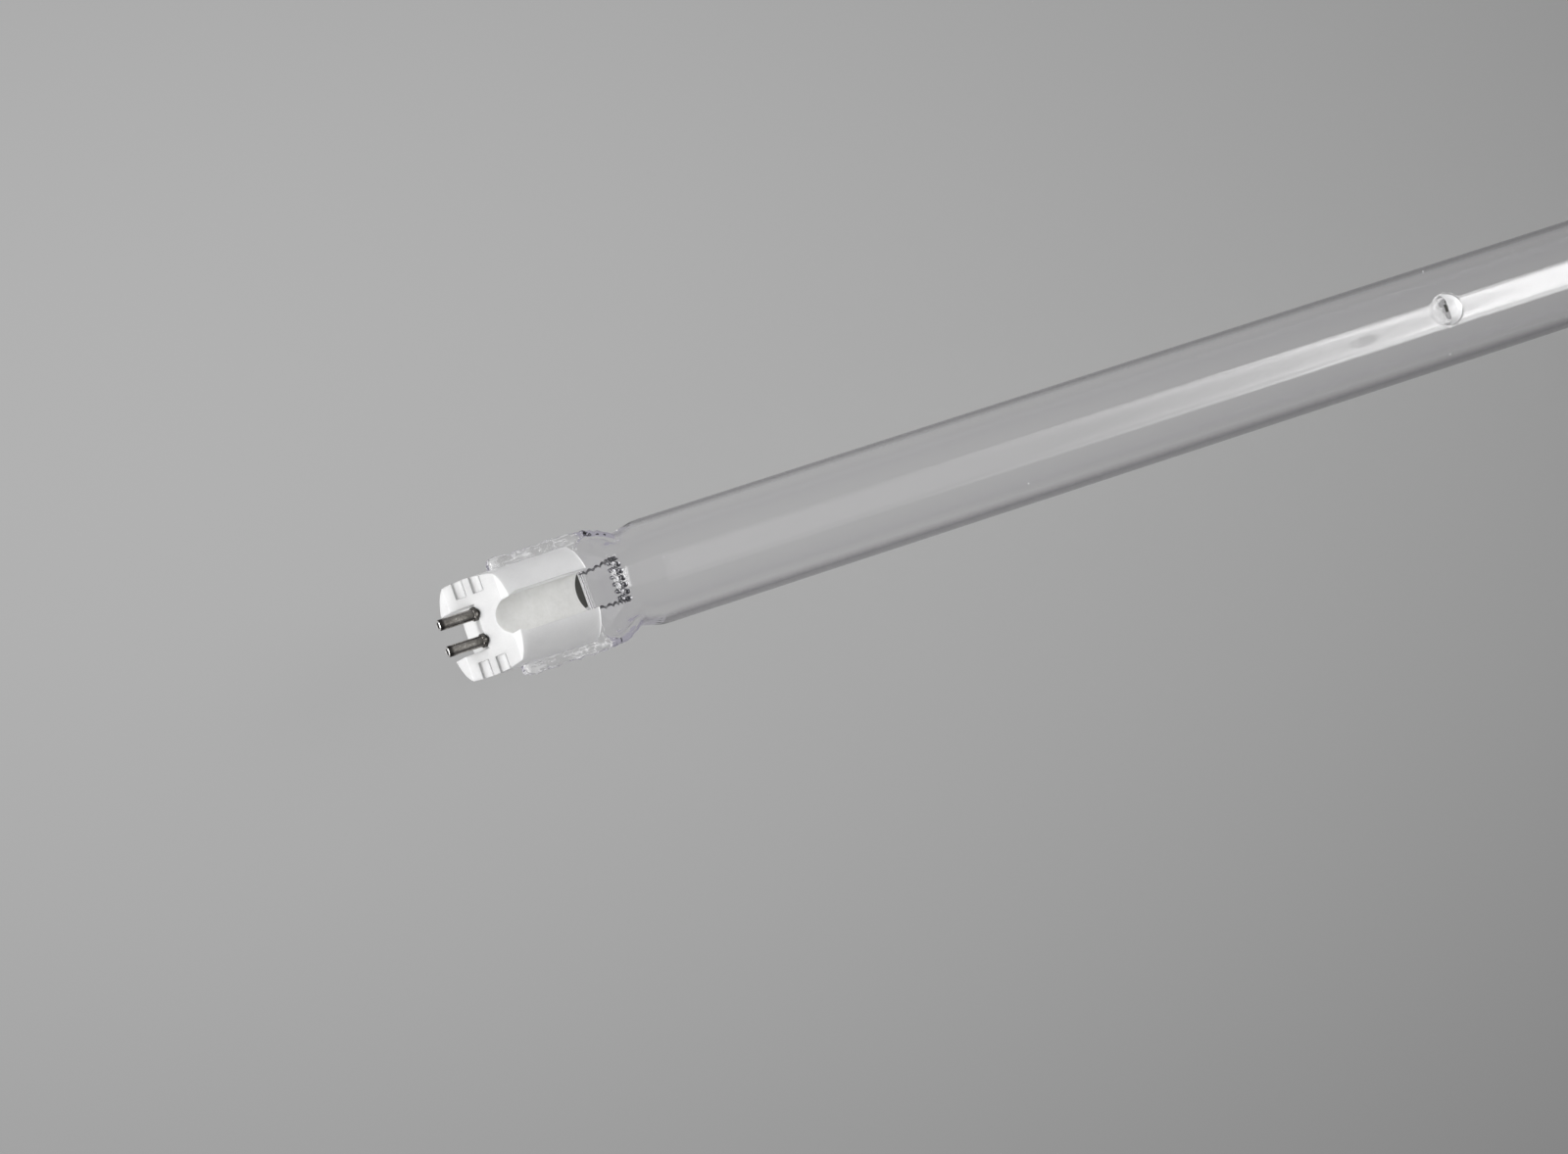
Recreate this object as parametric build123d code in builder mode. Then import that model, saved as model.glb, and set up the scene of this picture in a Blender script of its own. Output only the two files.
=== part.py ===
from build123d import *
import math
import os

os.makedirs("parts", exist_ok=True)

# Double-ended uv germicidal lamp: a quartz tube with a flat pinch at each end,
# a ceramic cap cemented on each pinch, and two contact pins in each cap.
# X runs along the lamp, the pinch blades lie flat in XY, the cap windows face +Z.
# A name ending in _S is a station in mm inward from the left cap's pin face.

# Whole lamp
CAP_TO_CAP = 436.0
CAP_NOSE_S = -3.6
HALF_SPAN = CAP_TO_CAP / 2 + CAP_NOSE_S

# Quartz tube
TUBE_R = 9.5
WALL = 1.0
SHOULDER_END_S = 33.5
BLADE_T = 3.2
BLADE_START_S = 4.8
BLADE_END_S = 19.9
BLADE_OUTER_W = 20.1
BLADE_INNER_W = 21.6
BLADE_CORNER_R = 0.7

# Sealed exhaust tip on the tube
TIP_X = -22.2
TIP_BASE_R = 2.7
TIP_TOP_R = 1.3
TIP_H = 1.3
TIP_ROOT = 0.4

# Ceramic cap
CAP_R = 8.75
CAP_END_S = 19.15
CAP_EDGE = 0.4
BODY_START_S = 4.0
BEVEL_LOW_Z = -2.2
BEVEL_HIGH_Z = 3.8
PIN_FACE_S = 0.1
CHANNEL_W = 8.0
WINDOW_W = 7.1
WINDOW_START_S = 2.4
NOTCH_IN_Y = 5.75
NOTCH_W = 1.5
NOTCH_PITCH = 2.6
NOTCH_FIRST_S = -1.3
NOTCH_DEPTH = 1.1

# Cement in the cap window
CEMENT_TOP_Z = 2.0
CEMENT_END_S = 17.9
CEMENT_SCOOP_R = 5.6

# Contact pins
PIN_R = 1.0
PIN_SPACING = 4.8
PIN_TIP_S = -7.2
PIN_END_S = 3.2
PIN_RECESS_R = 0.55
PIN_RECESS_L = 0.2
PIN_TIP_EDGE = 0.25
COLLAR_R = 1.25
COLLAR_L = 0.8

# Current path through the pinch
LEAD_R = 0.3
WELD_FLAT_Z = -0.25
OUTER_LEAD_START_S = 1.7
OUTER_LEAD_END_S = 7.8
INNER_LEAD_START_S = 15.6
INNER_LEAD_Y = 3.35
FOIL_START_S = 6.4
FOIL_END_S = 17.0
FOIL_Y = 3.0
FOIL_W = 2.6
FOIL_T = 0.06

# Filament coil across the tube
COIL_S = 26.9
COIL_R = 0.875
COIL_WIRE_R = 0.27
COIL_WIRE_SIDES = 6
COIL_TURNS = 7

# Amalgam pellet on the tube floor
PELLET_X = 60.0
PELLET_LENGTH = 4.0
PELLET_R = 1.3
PELLET_EDGE = 0.5

# How far a cutting block runs past what it cuts
CUT = 1.0


def at(station):
    """X of a station on the left end."""
    return station - HALF_SPAN


def finish(piece, name):
    """Label a finished piece and write its file."""
    piece.label = name
    export_step(piece, "parts/" + name + ".step")


def finish_pair(piece, name):
    """Write the left end's piece and its mirror image at the right end."""
    finish(piece, "left_" + name)
    with BuildPart() as right:
        add(mirror(piece, about=Plane.YZ))
    finish(right.part, "right_" + name)


def rod(start, end, radius, y, mode=Mode.ADD):
    """A round bar along X between two stations, in the open part."""
    with BuildSketch(Plane.YZ.offset(at(start))) as profile:
        with Locations((y, 0)):
            Circle(radius)
    extrude(profile.sketch, amount=end - start, mode=mode)


def slab(start, end, y0, y1, z0, z1, mode):
    """A square block between two stations, in the open part."""
    with BuildSketch(Plane.YZ.offset(at(start))) as profile:
        with Locations(((y0 + y1) / 2, (z0 + z1) / 2)):
            Rectangle(y1 - y0, z1 - z0)
    extrude(profile.sketch, amount=end - start, mode=mode)


def oval(station, half_w, half_t, power):
    """One cross-section of the envelope, round (power 2) to nearly square."""
    with BuildSketch(Plane.YZ.offset(at(station))) as profile:
        if half_w == half_t:
            Circle(half_w)
        else:
            points = []
            for i in range(16):
                c = math.cos(math.pi * i / 8)
                n = math.sin(math.pi * i / 8)
                y = half_w * math.copysign(abs(c) ** (2 / power), c)
                z = half_t * math.copysign(abs(n) ** (2 / power), n)
                points.append((y, z))
            with BuildLine():
                Spline(*points, periodic=True)
            make_face()
    return profile.sketch


# The filament is a coil across the tube, one end on each inner lead
with BuildPart() as filament:
    with BuildLine():
        coil_line = Helix(
            pitch=2 * INNER_LEAD_Y / COIL_TURNS,
            height=2 * INNER_LEAD_Y,
            radius=COIL_R,
            center=(at(COIL_S), -INNER_LEAD_Y, 0),
            direction=(0, 1, 0),
        )
    with BuildSketch(Plane(origin=coil_line @ 0, z_dir=coil_line % 0)):
        RegularPolygon(COIL_WIRE_R, COIL_WIRE_SIDES)
    sweep(is_frenet=True)
finish_pair(filament.part, "filament")

# Leads and foils, back side at +Y and front side at -Y
pinch_parts = []
for side, place in ((1, "back"), (-1, "front")):
    outer_y = side * PIN_SPACING / 2
    inner_y = side * INNER_LEAD_Y
    with BuildPart() as outer_lead:
        rod(OUTER_LEAD_START_S, OUTER_LEAD_END_S, LEAD_R, outer_y)
        slab(FOIL_START_S, OUTER_LEAD_END_S, outer_y - CUT, outer_y + CUT, -CUT, WELD_FLAT_Z, Mode.SUBTRACT)
    with BuildPart() as inner_wire:
        rod(INNER_LEAD_START_S, COIL_S, LEAD_R, inner_y)
        slab(INNER_LEAD_START_S, FOIL_END_S, inner_y - CUT, inner_y + CUT, -CUT, WELD_FLAT_Z, Mode.SUBTRACT)
    with BuildPart() as inner_lead:
        add(inner_wire.part)
        add(filament.part, mode=Mode.SUBTRACT)
    with BuildPart() as foil:
        foil_y0 = side * FOIL_Y - FOIL_W / 2
        foil_z0 = WELD_FLAT_Z - FOIL_T
        slab(FOIL_START_S, FOIL_END_S, foil_y0, foil_y0 + FOIL_W, foil_z0, WELD_FLAT_Z, Mode.ADD)
    finish_pair(outer_lead.part, place + "_outer_lead")
    finish_pair(inner_lead.part, place + "_inner_lead")
    finish_pair(foil.part, place + "_foil")
    pinch_parts += [outer_lead.part, inner_wire.part, foil.part]

# Contact pins: a recess in the tip, a collar at the root, the lead gripped in the inner end
pins = []
for side, place in ((1, "back"), (-1, "front")):
    pin_y = side * PIN_SPACING / 2
    with BuildPart() as pin:
        rod(PIN_TIP_S, PIN_END_S, PIN_R, pin_y)
        rod(PIN_TIP_S, PIN_TIP_S + PIN_RECESS_L, PIN_RECESS_R, pin_y, Mode.SUBTRACT)
        chamfer(pin.edges().group_by(Axis.X)[0].sort_by(SortBy.RADIUS)[-1], PIN_TIP_EDGE)
        rod(PIN_FACE_S - COLLAR_L, PIN_FACE_S, COLLAR_R, pin_y)
        rod(OUTER_LEAD_START_S, PIN_END_S, LEAD_R, pin_y, Mode.SUBTRACT)
    finish_pair(pin.part, place + "_contact_pin")
    pins.append(pin.part)

# Quartz envelope: round tube, necked shoulder, flat pinch blade
OUTSIDE = [
    (BLADE_END_S - 0.6, BLADE_INNER_W / 2 - 0.3, BLADE_T / 2 - 0.1, 3.0),
    (21.4, 10.4, 2.0, 3.0),
    (23.4, 10.3, 3.6, 2.8),
    (25.6, 9.7, 5.8, 2.5),
    (27.8, 8.45, 7.8, 2.2),
    (29.8, 8.8, 8.9, 2.05),
    (31.8, 9.35, 9.4, 2.0),
    (SHOULDER_END_S, TUBE_R, TUBE_R, 2.0),
]
INSIDE = [
    (20.3, 7.4, 0.35, 2.6),
    (21.6, 8.4, 0.8, 2.6),
    (23.4, 8.9, 2.4, 2.5),
    (25.6, 8.4, 4.6, 2.4),
    (27.8, 7.3, 6.7, 2.15),
    (29.8, 7.75, 7.85, 2.05),
    (31.8, 8.35, 8.4, 2.0),
    (SHOULDER_END_S, TUBE_R - WALL, TUBE_R - WALL, 2.0),
]

with BuildPart() as blade:
    with BuildSketch(Plane.XY.offset(-BLADE_T / 2)):
        with BuildLine():
            Polyline(
                (at(BLADE_START_S), -BLADE_OUTER_W / 2),
                (at(BLADE_END_S), -BLADE_INNER_W / 2),
                (at(BLADE_END_S), BLADE_INNER_W / 2),
                (at(BLADE_START_S), BLADE_OUTER_W / 2),
                close=True,
            )
        make_face()
    extrude(amount=BLADE_T)
    side_faces = blade.faces().sort_by(Axis.Y)
    side_edges = side_faces[0].edges() + side_faces[-1].edges()
    fillet(side_edges.filter_by(Axis.Z, reverse=True), BLADE_CORNER_R)

with BuildPart() as shoulder:
    loft([oval(*section) for section in OUTSIDE])

with BuildPart() as shoulder_hollow:
    loft([oval(*section) for section in INSIDE])

with BuildPart() as hollow:
    rod(SHOULDER_END_S, HALF_SPAN, TUBE_R - WALL, 0)
    add(shoulder_hollow.part)

with BuildPart() as half_envelope:
    rod(SHOULDER_END_S, HALF_SPAN, TUBE_R, 0)
    add(shoulder.part, clean=False)
    add(blade.part, clean=False)
    add(hollow.part, mode=Mode.SUBTRACT, clean=False)
    for sealed in pinch_parts:
        add(sealed, mode=Mode.SUBTRACT, clean=False)

with BuildPart() as exhaust_tip:
    with BuildSketch(Plane.XY.offset(TUBE_R - TIP_ROOT)):
        with Locations((TIP_X, 0)):
            Circle(TIP_BASE_R)
    with BuildSketch(Plane.XY.offset(TUBE_R + TIP_H)):
        with Locations((TIP_X, 0)):
            Circle(TIP_TOP_R)
    loft()

with BuildPart() as quartz:
    add(half_envelope.part, clean=False)
    add(mirror(half_envelope.part, about=Plane.YZ), clean=False)
    add(exhaust_tip.part, clean=False)
finish(quartz.part, "quartz_tube")

# Ceramic cap: bevelled nose split by a channel, window over the pinch
BEVEL_SLOPE = (BEVEL_HIGH_Z - BEVEL_LOW_Z) / (BODY_START_S - CAP_NOSE_S)


def bevel_z(station):
    """Height of the bevelled face at a station."""
    return BEVEL_LOW_Z + BEVEL_SLOPE * (station - CAP_NOSE_S)


with BuildPart() as cap:
    rod(CAP_NOSE_S, CAP_END_S, CAP_R, 0)
    chamfer(cap.edges().group_by(Axis.X)[-1], CAP_EDGE)
    with BuildSketch(Plane.XZ.offset(-CAP_R - CUT)):
        with BuildLine():
            Polyline(
                (at(CAP_NOSE_S - CUT), bevel_z(CAP_NOSE_S - CUT)),
                (at(BODY_START_S), BEVEL_HIGH_Z),
                (at(BODY_START_S), CAP_R + CUT),
                (at(CAP_NOSE_S - CUT), CAP_R + CUT),
                close=True,
            )
        make_face()
    extrude(amount=2 * (CAP_R + CUT), mode=Mode.SUBTRACT)
    slab(CAP_NOSE_S - CUT, PIN_FACE_S, -CHANNEL_W / 2, CHANNEL_W / 2, -CAP_R, CAP_R, Mode.SUBTRACT)
    for number in (0, 1):
        notch_s = NOTCH_FIRST_S + number * NOTCH_PITCH
        notch_floor = bevel_z(notch_s) - NOTCH_DEPTH
        for y0, y1 in ((NOTCH_IN_Y, CAP_R), (-CAP_R, -NOTCH_IN_Y)):
            slab(notch_s - NOTCH_W / 2, notch_s + NOTCH_W / 2, y0, y1, notch_floor, CAP_R, Mode.SUBTRACT)
    with BuildSketch(Plane.XY.offset(BLADE_T / 2)):
        with Locations((at(WINDOW_START_S + WINDOW_W / 2), 0)):
            Circle(WINDOW_W / 2)
        window_l = CAP_END_S + CUT - WINDOW_START_S - WINDOW_W / 2
        with Locations((at(CAP_END_S + CUT) - window_l / 2, 0)):
            Rectangle(window_l, WINDOW_W)
    extrude(amount=CAP_R, mode=Mode.SUBTRACT)
    slab(BLADE_START_S, CAP_END_S + CUT, -CAP_R - CUT, CAP_R + CUT, -BLADE_T / 2, BLADE_T / 2, Mode.SUBTRACT)
    for lead in pinch_parts:
        add(lead, mode=Mode.SUBTRACT)
    for pin_part in pins:
        add(pin_part, mode=Mode.SUBTRACT)
finish_pair(cap.part, "ceramic_cap")

# Cement that fills the window down to the glass, scooped at its inner end
with BuildPart() as cement:
    with BuildSketch(Plane.XY.offset(BLADE_T / 2)):
        with Locations((at(WINDOW_START_S + WINDOW_W / 2), 0)):
            Circle(WINDOW_W / 2)
        cement_l = CAP_END_S - WINDOW_START_S - WINDOW_W / 2
        with Locations((at(CAP_END_S) - cement_l / 2, 0)):
            Rectangle(cement_l, WINDOW_W)
        with Locations((at(CEMENT_END_S + CEMENT_SCOOP_R), 0)):
            Circle(CEMENT_SCOOP_R, mode=Mode.SUBTRACT)
    extrude(amount=CEMENT_TOP_Z - BLADE_T / 2)
finish_pair(cement.part, "cap_cement")

# Amalgam pellet, a flattened bead fused to the tube floor
with BuildPart() as pellet:
    with BuildSketch(Plane.YZ.offset(PELLET_X - PELLET_LENGTH / 2)):
        with Locations((0, -TUBE_R + WALL)):
            Circle(PELLET_R)
    extrude(amount=PELLET_LENGTH)
    chamfer(pellet.edges(), PELLET_EDGE)
    with BuildSketch(Plane.YZ.offset(PELLET_X - PELLET_LENGTH)):
        Circle(TUBE_R - WALL)
    extrude(amount=2 * PELLET_LENGTH, mode=Mode.INTERSECT)
finish(pellet.part, "amalgam_pellet")
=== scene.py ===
import math
import random

import bpy
from mathutils import Matrix, Vector
from mathutils.noise import noise


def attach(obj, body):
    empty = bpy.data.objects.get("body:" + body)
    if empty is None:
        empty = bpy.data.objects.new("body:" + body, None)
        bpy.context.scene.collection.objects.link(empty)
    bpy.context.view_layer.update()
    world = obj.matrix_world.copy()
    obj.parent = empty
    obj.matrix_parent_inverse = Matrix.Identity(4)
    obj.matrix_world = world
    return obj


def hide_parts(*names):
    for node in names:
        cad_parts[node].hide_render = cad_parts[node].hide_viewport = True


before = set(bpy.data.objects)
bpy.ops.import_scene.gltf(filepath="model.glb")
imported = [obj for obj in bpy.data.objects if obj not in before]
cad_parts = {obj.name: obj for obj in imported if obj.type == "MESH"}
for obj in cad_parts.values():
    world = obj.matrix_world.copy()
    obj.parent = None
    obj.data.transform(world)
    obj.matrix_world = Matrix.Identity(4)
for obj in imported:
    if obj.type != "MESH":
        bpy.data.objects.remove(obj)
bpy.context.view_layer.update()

# Sizes in mm, as in the part. A name ending in _S is a station of the left end, counted inward from
# X = -214.4, which is just outside the cap's pin face.
MM = 0.001
HALF_SPAN = 214.4

# Glass
TUBE_R = 9.5
BORE_R = 8.5
BORE_START_STOPS = [20.3, 20.35, 20.42, 20.5, 20.7]
BLADE_START_STOPS = [4.8, 4.9, 5.05, 5.3, 5.7]
SHOULDER_START_S = 6.0
SHOULDER_END_S = 34
SHOULDER_STEP = 0.3
TUBE_STEP = 8
PLAIN_TUBE_X = 180
NECK_START_S = 17.0
NECK_END_S = 31.6
EDGE_THICKENING = 0.3
EDGE_RIPPLE = 0.22
JAW_WAVES = 0.045
# Waves in the glass: grain per mm along s, y and z, then a shift into the noise
LONG_WAVE = (0.5, 0.2, 0, 3.1)
SHORT_WAVE = (1.5, 0.5, 0.8, 0)
EDGE_WAVE = (0.9, 1, 0, 7.7)
GLINT_WAVE = (0.22, 3.6, 2.4, 5.0)
SHORT_WAVE_SHARE = 0.6
THICK_EDGE_Y = (8.6, 9.6)
WAVY_Y = (6.5, 9.0)
BLADE_FADE_S = (19.0, 22.0)
JAWS_FADE_S = (24.0, 31.0)
PINCH_EDGE_Y = 8.2
# Painted highlights: milky streaks on the pinch's side edges stand in for glints
GLINT_Y = 8.75
GLINT_END_S = 22
GLINT_LEVEL = 0.22
GLINT_CORNER_S = 6.5
GLINT_CORNER_MORE = 0.3
SEED_R = 9.0

# Sealed exhaust tip
TIP_X = -22.2
TIP_R = 3.3
TIP_H = 1.35
TIP_TOP_SHARE = 0.42
TIP_CROWN = 0.06
TIP_HALF_L = 3.6
TIP_STEP = 0.15
TIP_STEPS = 48
STOPS_BEFORE_TIP = 4
STOP_AFTER_TIP = 6
TIP_HOLLOW_R = TIP_R * 0.62
TIP_HOLLOW_H = 0.95
# Painted highlight on the tip's right flank, and painted shade in a dark slit at its left
TIP_FLANK_R = TIP_R * 0.86
TIP_FLANK_X = -0.5
TIP_SLIT_X = -0.85
TIP_SLIT_Y = 0.2
TIP_SLIT_HALF_L = 0.3
TIP_SLIT_HALF_W = 0.75

# Painted shade: a dark strip of the pinch at the cement's inner end, with a painted highlight at its edge
PRESS_SHADE_S = 17.3
PRESS_EDGE_S = 19.33
PRESS_EDGE_W = 0.22
PRESS_Y = 0.4
PRESS_HALF_W = 3.0

# Filament, leads and pins
COIL_S = 26.9
COIL_R = 1.0
COIL_TURNS = 6
FINE_COIL_R = 0.23
FINE_COIL_TURNS = 66
COIL_STEPS = FINE_COIL_TURNS * 12
COIL_SWAY = 0.03
COIL_SWAY_RATE = 37
COIL_WIRE_R = 0.11
POWDER_R = COIL_R + 0.12
POWDER_LUMPS_PER_TURN = 5
POWDER_LUMP_R = 0.25
POWDER_LUMP_MORE_R = 0.09
LOOSE_LUMPS = 24
LOOSE_LUMP_R = 0.14
LEAD_Y = 3.35
LEAD_CORE_R = 0.12
LEAD_WRAP_START_S = 20.6
LEAD_WRAP_TURNS = 9
LEAD_WRAP_R = 0.28
LEAD_WRAP_WIRE_R = 0.16
BACK_LEAD_FAR_Y = 4.25
FRONT_LEAD_FAR_Y = -3.5
PIN_Y = 2.4
PIN_L = 7.2

# Cap nose and the floors of its notches
BEVEL_START_S = -3.6
BEVEL_LOW_Z = -2.2
BEVEL_SLOPE_L = 7.6
BEVEL_SLOPE_H = 6.0
NOTCH_MIDDLES_S = (-1.3, 1.3)
NOTCH_HALF_W = 0.76
NOTCH_IN_Y = 5.7
NOTCH_OUT_R = 8.73
NOTCH_DEPTH = 0.36
NOTCH_LIP = 0.02
NOTCH_ROUNDING = 2.4
NOTCH_SAG = 0.03
NOTCH_FILL = 1.15
NOTCH_STEPS = 16

# Studio
FLOOR_HALF = 3000
FLOOR_GAP = 0.02
# Painted pool of light on the floor, and the floor's own level
POOL_PLACE_M = (-0.282, 0.060, 0)
POOL_TURN = -8.6
POOL_SIZE_M = (0.872, 0.506, 1000)
POOL_FALL = -3.6
POOL_LIGHT = 0.405
PAPER_LIGHT = 0.055
PAPER_DARKEST = 0.18
PAPER_BLEND = 0.08
PAPER_OWN_LIGHT = 0.85
PANEL_X = (60, 1500)
PANEL_Y = (-760, 360)
PANEL_Z = 1000
PANEL_RAMP_X_M = (0.06, 0.66)
PANEL_LIGHT = 6.0
CAMERA_PLACE = (-562.97, -71.17, 1030.62)
CAMERA_AWAY = (0.36490, 0.05684, -0.92931)
CAMERA_UP = (0.28992, 0.94157, 0.17143)
CAMERA_LENS = 145.1
CAMERA_FILM_W = 36


def at(station):
    """X of a station on the left end, in mm."""
    return station - HALF_SPAN


# Meshes


def link_mesh(name, verts, faces):
    """A new smooth-shaded object from points in mm and faces."""
    mesh = bpy.data.meshes.new(name)
    mesh.from_pydata([[c * MM for c in v] for v in verts], [], faces)
    mesh.validate()
    mesh.polygons.foreach_set("use_smooth", [True] * len(mesh.polygons))
    piece = bpy.data.objects.new(name, mesh)
    bpy.context.scene.collection.objects.link(piece)
    return piece


def loft_rings(verts, faces, rings, inward=False):
    """Skin closed rings of equal length, with a fan of faces on each end."""
    start = len(verts)
    count = len(rings[0])
    for ring in rings:
        verts.extend(ring)
    for i in range(len(rings) - 1):
        for j in range(count):
            a = start + i * count + j
            b = start + i * count + (j + 1) % count
            quad = (a, b, b + count, a + count)
            faces.append(quad[::-1] if inward else quad)
    for i, forward in ((0, False), (len(rings) - 1, True)):
        ring = rings[i]
        verts.append(tuple(sum(p[k] for p in ring) / count for k in range(3)))
        hub = len(verts) - 1
        for j in range(count):
            a = start + i * count + j
            b = start + i * count + (j + 1) % count
            faces.append((a, b, hub) if forward != inward else (b, a, hub))


def tube_along(path, radius, sides):
    """Rings of a round wire that follows a list of points."""
    rings = []
    turn = Vector((0, 0, 1))
    points = [Vector(p) for p in path]
    for i, here in enumerate(points):
        ahead = (points[min(i + 1, len(points) - 1)] - points[max(i - 1, 0)]).normalized()
        turn = (turn - ahead * turn.dot(ahead)).normalized()
        side = ahead.cross(turn)
        rings.append([
            tuple(here + (turn * math.cos(a) + side * math.sin(a)) * radius)
            for a in (2 * math.pi * k / sides for k in range(sides))
        ])
    return rings


def bead(verts, faces, spot, size):
    """A small round lump."""
    steps, sides = 5, 7
    rings = []
    for i in range(1, steps):
        a = math.pi * i / steps
        rings.append([
            tuple(spot + Vector((math.sin(a) * math.cos(b), math.sin(a) * math.sin(b), -math.cos(a))) * size)
            for b in (2 * math.pi * k / sides for k in range(sides))
        ])
    loft_rings(verts, faces, rings)


def smooth_path(points, steps):
    """Points on a smooth curve through a few given ones."""
    made = []
    pts = [Vector(p) for p in points]
    for k in range(len(pts) - 1):
        p0, p1, p2, p3 = pts[max(k - 1, 0)], pts[k], pts[k + 1], pts[min(k + 2, len(pts) - 1)]
        for i in range(steps):
            t = i / steps
            made.append(tuple(
                0.5 * ((2 * p1) + (p2 - p0) * t + (2 * p0 - 5 * p1 + 4 * p2 - p3) * t * t
                       + (3 * p1 - p0 - 3 * p2 + p3) * t ** 3)
            ))
    made.append(tuple(pts[-1]))
    return made


def to_end(piece, side):
    """Leave a piece at the left end, or mirror it to the right one."""
    if side == "right":
        piece.data.transform(Matrix.Scale(-1, 4, (1, 0, 0)))
        piece.data.flip_normals()
    return piece


def ease(value, low, high):
    """0 below low, 1 above high, smooth between."""
    t = max(0.0, min(1.0, (value - low) / (high - low)))
    return t * t * (3 - 2 * t)


# Glass envelope

# Station, half width, half thickness and squareness of the glass outside, then of its hollow
OUTSIDE = [
    (4.8, 9.8, 1.0, 3.2),
    (5.1, 10.45, 1.45, 4.0),
    (6.0, 10.65, 1.6, 4.6),
    (14.0, 10.5, 1.6, 4.6),
    (19.0, 10.75, 1.6, 4.2),
    (21.4, 10.5, 2.1, 3.2),
    (23.4, 10.3, 3.6, 2.8),
    (25.6, 9.7, 5.8, 2.5),
    (27.8, 8.5, 7.8, 2.2),
    (29.8, 8.8, 8.9, 2.05),
    (31.8, 9.35, 9.4, 2.0),
    (33.5, 9.5, 9.5, 2.0),
]
INSIDE = [
    (20.3, 7.0, 0.2, 2.4),
    (20.5, 7.4, 0.4, 2.6),
    (21.6, 8.4, 0.8, 2.6),
    (23.4, 8.9, 2.4, 2.5),
    (25.6, 8.4, 4.6, 2.4),
    (27.8, 7.3, 6.7, 2.15),
    (29.8, 7.75, 7.85, 2.05),
    (31.8, 8.35, 8.4, 2.0),
    (33.5, 8.5, 8.5, 2.0),
]

# Small flaws in the tube's wall: X in mm, degrees from the back (+Y) over the top, radius in mm
SEEDS = [
    (-186.0, 20, 0.15), (-111.1, 133, 0.15), (-21.5, 26, 0.2), (-22.6, 146, 0.15),
    (-181.6, 83, 0.08), (-180.8, 93, 0.07), (-180.5, 90, 0.09), (-180.0, 95, 0.08),
    (-179.6, 92, 0.07), (-179.0, 89, 0.08), (-178.2, 95, 0.09),
]


def between(table, station):
    """Row of a table of stations at any station, on a smooth curve through its rows."""
    if station <= table[0][0]:
        return table[0][1:]
    if station >= table[-1][0]:
        return table[-1][1:]
    k = max(i for i in range(len(table) - 1) if table[i][0] <= station)
    rows = [table[max(k - 1, 0)], table[k], table[k + 1], table[min(k + 2, len(table) - 1)]]
    s0, s1, s2, s3 = (row[0] for row in rows)
    t = (station - s1) / (s2 - s1)
    values = []
    for column in range(1, len(table[0])):
        v0, v1, v2, v3 = (row[column] for row in rows)
        m1 = (v2 - v0) / (s2 - s0) * (s2 - s1)
        m2 = (v3 - v1) / (s3 - s1) * (s2 - s1)
        values.append(
            (2 * t ** 3 - 3 * t * t + 1) * v1 + (t ** 3 - 2 * t * t + t) * m1
            + (3 * t * t - 2 * t ** 3) * v2 + (t ** 3 - t * t) * m2
        )
    return values


def ring_angles():
    """Angles round the tube, closer together round the exhaust tip at the top."""
    arc, near_steps, far_steps = 20, 56, 112
    near = [-arc + 2 * arc * k / near_steps for k in range(near_steps + 1)]
    far = [arc + (360 - 2 * arc) * k / far_steps for k in range(1, far_steps)]
    return [math.pi / 2 + math.radians(a) for a in near + far]


ANGLES = ring_angles()


def section(x, half_w, half_t, power):
    """One closed ring of the glass at x."""
    ring = []
    for angle in ANGLES:
        c, n = math.cos(angle), math.sin(angle)
        ring.append((
            x,
            half_w * math.copysign(abs(c) ** (2 / power), c),
            half_t * math.copysign(abs(n) ** (2 / power), n),
        ))
    return ring


def wave_height(kind, s, y, z):
    """Height of one kind of wave at a point of the glass."""
    along, across, up, shift = kind
    return noise(Vector((s * along, y * across, z * up + shift)))


def pinched(s, y, z):
    """A point of the glass with the waves and thick edge that the pinching jaws leave."""
    edge = ease(abs(y), *THICK_EDGE_Y)
    near_edge = ease(abs(y), *WAVY_Y)
    blade = 1 - ease(s, *BLADE_FADE_S)
    pressed = 1 - ease(s, *JAWS_FADE_S)
    wave = wave_height(LONG_WAVE, s, y, z) + SHORT_WAVE_SHARE * wave_height(SHORT_WAVE, s, y, z)
    ripple = wave_height(EDGE_WAVE, s, y, z)
    swell = 1 + (EDGE_THICKENING * edge * blade + EDGE_RIPPLE * edge * ripple) * pressed
    push = 1 + JAW_WAVES * near_edge * pressed * wave
    return y * push, z * swell * push


def steps_until(start, end, step):
    """Stations from a start to just short of an end."""
    stops = []
    while start < end:
        stops.append(start)
        start += step
    return stops


def glass_stations():
    """Stations of the left half, close in the shoulder and along the exhaust tip."""
    stops = BLADE_START_STOPS + [PRESS_SHADE_S, PRESS_EDGE_S, PRESS_EDGE_S + PRESS_EDGE_W]
    stops += steps_until(SHOULDER_START_S, SHOULDER_END_S, SHOULDER_STEP)
    stops.sort()
    tip_s = TIP_X + HALF_SPAN
    stops += steps_until(SHOULDER_END_S + 2, tip_s - STOPS_BEFORE_TIP, TUBE_STEP)
    stops += [tip_s - TIP_HALF_L + TIP_STEP * k for k in range(TIP_STEPS + 1)]
    stops += [tip_s + STOP_AFTER_TIP, HALF_SPAN - TUBE_STEP, HALF_SPAN]
    return stops


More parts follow.
